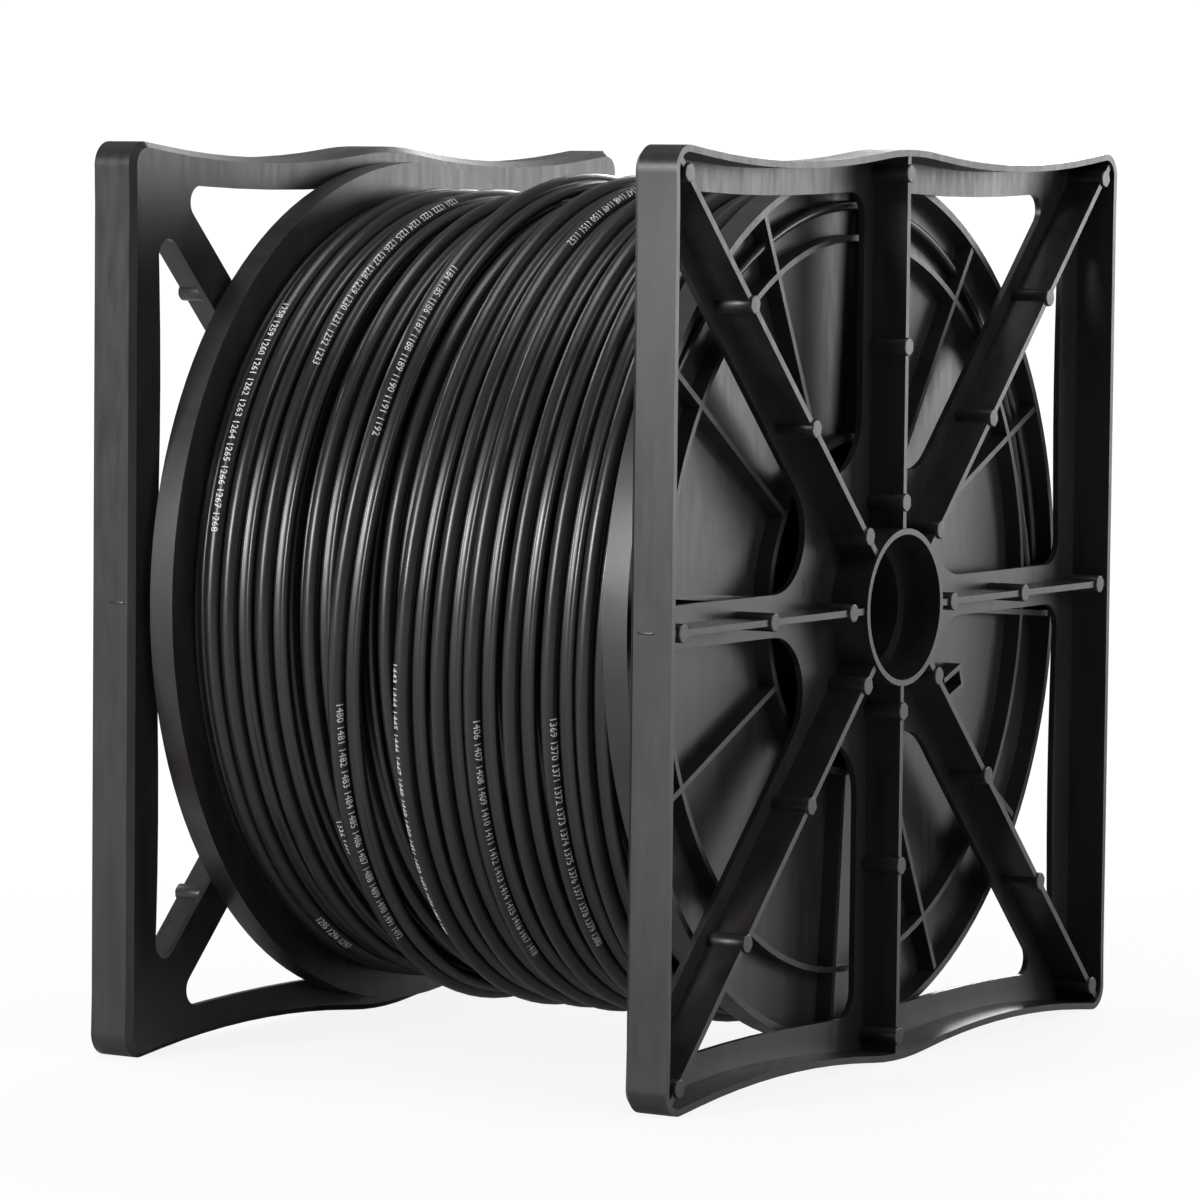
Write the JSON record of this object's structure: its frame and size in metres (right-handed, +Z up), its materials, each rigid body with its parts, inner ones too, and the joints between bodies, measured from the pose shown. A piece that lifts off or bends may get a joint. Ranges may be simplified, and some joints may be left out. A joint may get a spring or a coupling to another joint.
{
  "type": "cable reel",
  "caption": "Square plastic stand reel of siamese coaxial cable: a wound, ribbed spool that turns between wavy-edged stand frames on a hollow hub",
  "frame": {"origin": "on the floor under the middle of the reel, which stands on one side of its two square frames", "axes": "+X is the spool's turning axis, towards the end with the ribbed frame seen in the picture; +Z is up; +Y completes the right-handed set"},
  "size_m": [0.224, 0.305, 0.305],
  "materials": {
    "frame_plastic": "satin moulded",
    "spool_plastic": "satin moulded",
    "cable_jacket": "smooth jacket, satin gloss"
  },
  "bodies": {
    "stand": {"stand_frame_right": "frame_plastic", "stand_frame_left": "frame_plastic"},
    "spool": {"spool_half_right": "spool_plastic", "spool_half_left": "spool_plastic", "cable_winding": "cable_jacket"}
  },
  "joints": [
    {"name": "spool_turn", "type": "hinge", "parent": "stand", "child": "spool", "pos_m": [0, 0, 0.1525], "axis": [1, 0, 0], "continuous": true}
  ]
}
